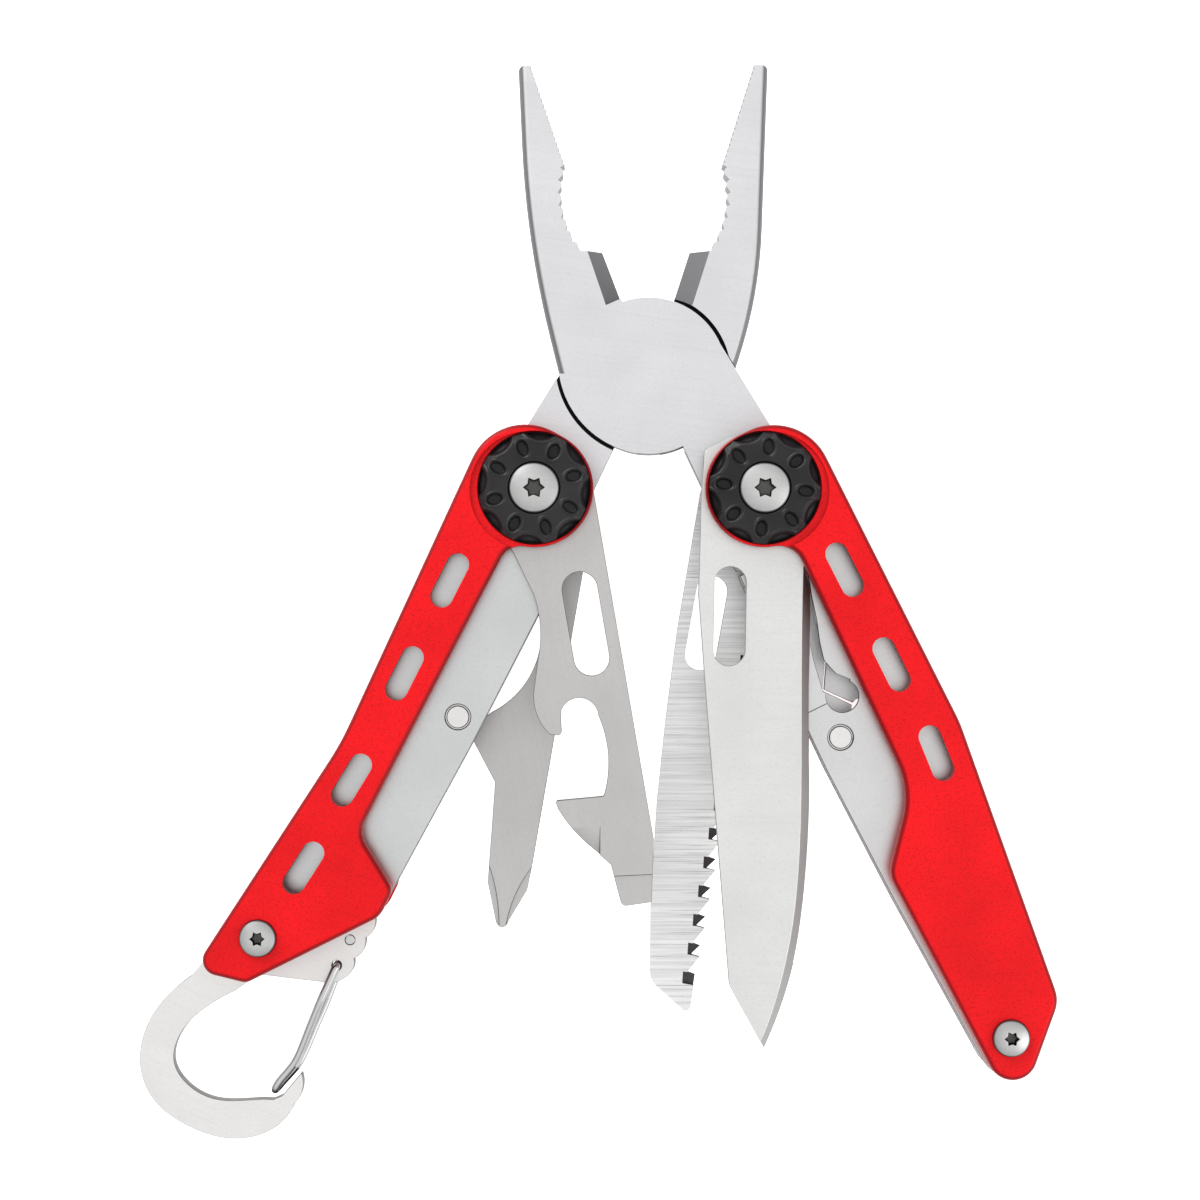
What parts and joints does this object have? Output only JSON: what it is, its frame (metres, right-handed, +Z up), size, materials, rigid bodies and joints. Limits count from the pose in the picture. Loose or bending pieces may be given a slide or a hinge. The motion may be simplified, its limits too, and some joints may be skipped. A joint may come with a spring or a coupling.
{
  "type": "multi tool",
  "caption": "Folding pocket multi tool: pliers between two slotted handles that hold a knife, saw, bottle opener and screwdriver, with a snap hook at one tail",
  "frame": {"origin": "centre of the base of the whole box: the tool lies flat on its rear screws at z = 0, under the middle of its outline", "axes": "+Z up out of the front face, +Y along the jaws away from the handles, +X to the right seen from the front"},
  "size_m": [0.1296, 0.1528, 0.0199],
  "materials": {
    "red_anodised": "bead-blasted and anodised, satin",
    "charcoal_grip": "soft satin",
    "screw_steel": "satin, domed",
    "bright_wire": "polished",
    "blade_steel": "fine cross-brushed",
    "tool_steel": "warm satin",
    "plier_steel": "satin, lightly pitted",
    "hook_steel": "light, finely scratched",
    "liner_steel": "bright satin"
  },
  "bodies": {
    "front_jaw": {"front_jaw": "plier_steel"},
    "rear_jaw": {"rear_jaw": "plier_steel", "jaw_rivet": "plier_steel"},
    "left_handle": {"left_front_scale": "red_anodised", "left_rear_scale": "red_anodised", "left_front_liner": "liner_steel", "left_rear_liner": "liner_steel", "left_front_knob": "charcoal_grip", "left_rear_knob": "charcoal_grip", "left_pivot_sleeve": "liner_steel", "left_pivot_screws": "screw_steel", "left_tail_sleeve": "liner_steel", "left_tail_screws": "screw_steel", "left_liner_studs": "liner_steel", "left_tail_spacers": "liner_steel", "carabiner_plate": "hook_steel", "gate_wire_end": "bright_wire"},
    "right_handle": {"right_front_scale": "red_anodised", "right_rear_scale": "red_anodised", "right_front_liner": "liner_steel", "right_rear_liner": "liner_steel", "right_front_knob": "charcoal_grip", "right_rear_knob": "charcoal_grip", "right_pivot_sleeve": "liner_steel", "right_pivot_screws": "screw_steel", "right_tail_sleeve": "liner_steel", "right_tail_screws": "screw_steel", "right_liner_studs": "liner_steel", "right_tail_spacer": "liner_steel"},
    "knife": {"knife": "blade_steel"},
    "saw": {"saw": "blade_steel"},
    "opener": {"opener": "tool_steel"},
    "screwdriver": {"screwdriver": "tool_steel"},
    "gate": {"gate_wire": "bright_wire"},
    "front_lock_leaf": {"front_lock_leaf": "liner_steel"},
    "rear_lock_leaf": {"rear_lock_leaf": "liner_steel"}
  },
  "joints": [
    {"name": "plier_joint", "type": "hinge", "parent": "front_jaw", "child": "rear_jaw", "pos_m": [0.0077, 0.03226, 0.00994], "axis": [0, 0, 1], "range_deg": [0, 7]},
    {"name": "left_handle_fold", "type": "hinge", "parent": "rear_jaw", "child": "left_handle", "pos_m": [-0.00845, 0.01611, 0.00994], "axis": [0, 0, -1], "range_deg": [0, 150]},
    {"name": "right_handle_fold", "type": "hinge", "parent": "front_jaw", "child": "right_handle", "pos_m": [0.02385, 0.01611, 0.00994], "axis": [0, 0, 1], "range_deg": [0, 150]},
    {"name": "knife_pivot", "type": "hinge", "parent": "right_handle", "child": "knife", "pos_m": [0.02385, 0.01611, 0.01504], "axis": [0, 0, 1], "range_deg": [-4, 22]},
    {"name": "saw_pivot", "type": "hinge", "parent": "right_handle", "child": "saw", "pos_m": [0.02385, 0.01611, 0.00484], "axis": [0, 0, 1], "range_deg": [-7, 36]},
    {"name": "opener_pivot", "type": "hinge", "parent": "left_handle", "child": "opener", "pos_m": [-0.00845, 0.01611, 0.01504], "axis": [0, 0, -1], "range_deg": [-4, 36.5]},
    {"name": "screwdriver_pivot", "type": "hinge", "parent": "left_handle", "child": "screwdriver", "pos_m": [-0.00845, 0.01611, 0.00484], "axis": [0, 0, -1], "range_deg": [-7, 20.5]},
    {"name": "gate_hinge", "type": "hinge", "parent": "left_handle", "child": "gate", "pos_m": [-0.03673, -0.05165, 0.00994], "axis": [0, 0, -1], "range_deg": [0, 25], "stiffness_Nm_per_rad": 0.004},
    {"name": "front_lock_leaf_flex", "type": "hinge", "parent": "right_handle", "child": "front_lock_leaf", "pos_m": [0.03216, -0.01461, 0.01274], "axis": [0.8988, 0.4384, 0], "range_deg": [-3, 0], "stiffness_Nm_per_rad": 0.6},
    {"name": "rear_lock_leaf_flex", "type": "hinge", "parent": "right_handle", "child": "rear_lock_leaf", "pos_m": [0.03349, -0.01735, 0.00714], "axis": [-0.8988, -0.4384, 0], "range_deg": [-3, 0], "stiffness_Nm_per_rad": 0.6}
  ]
}
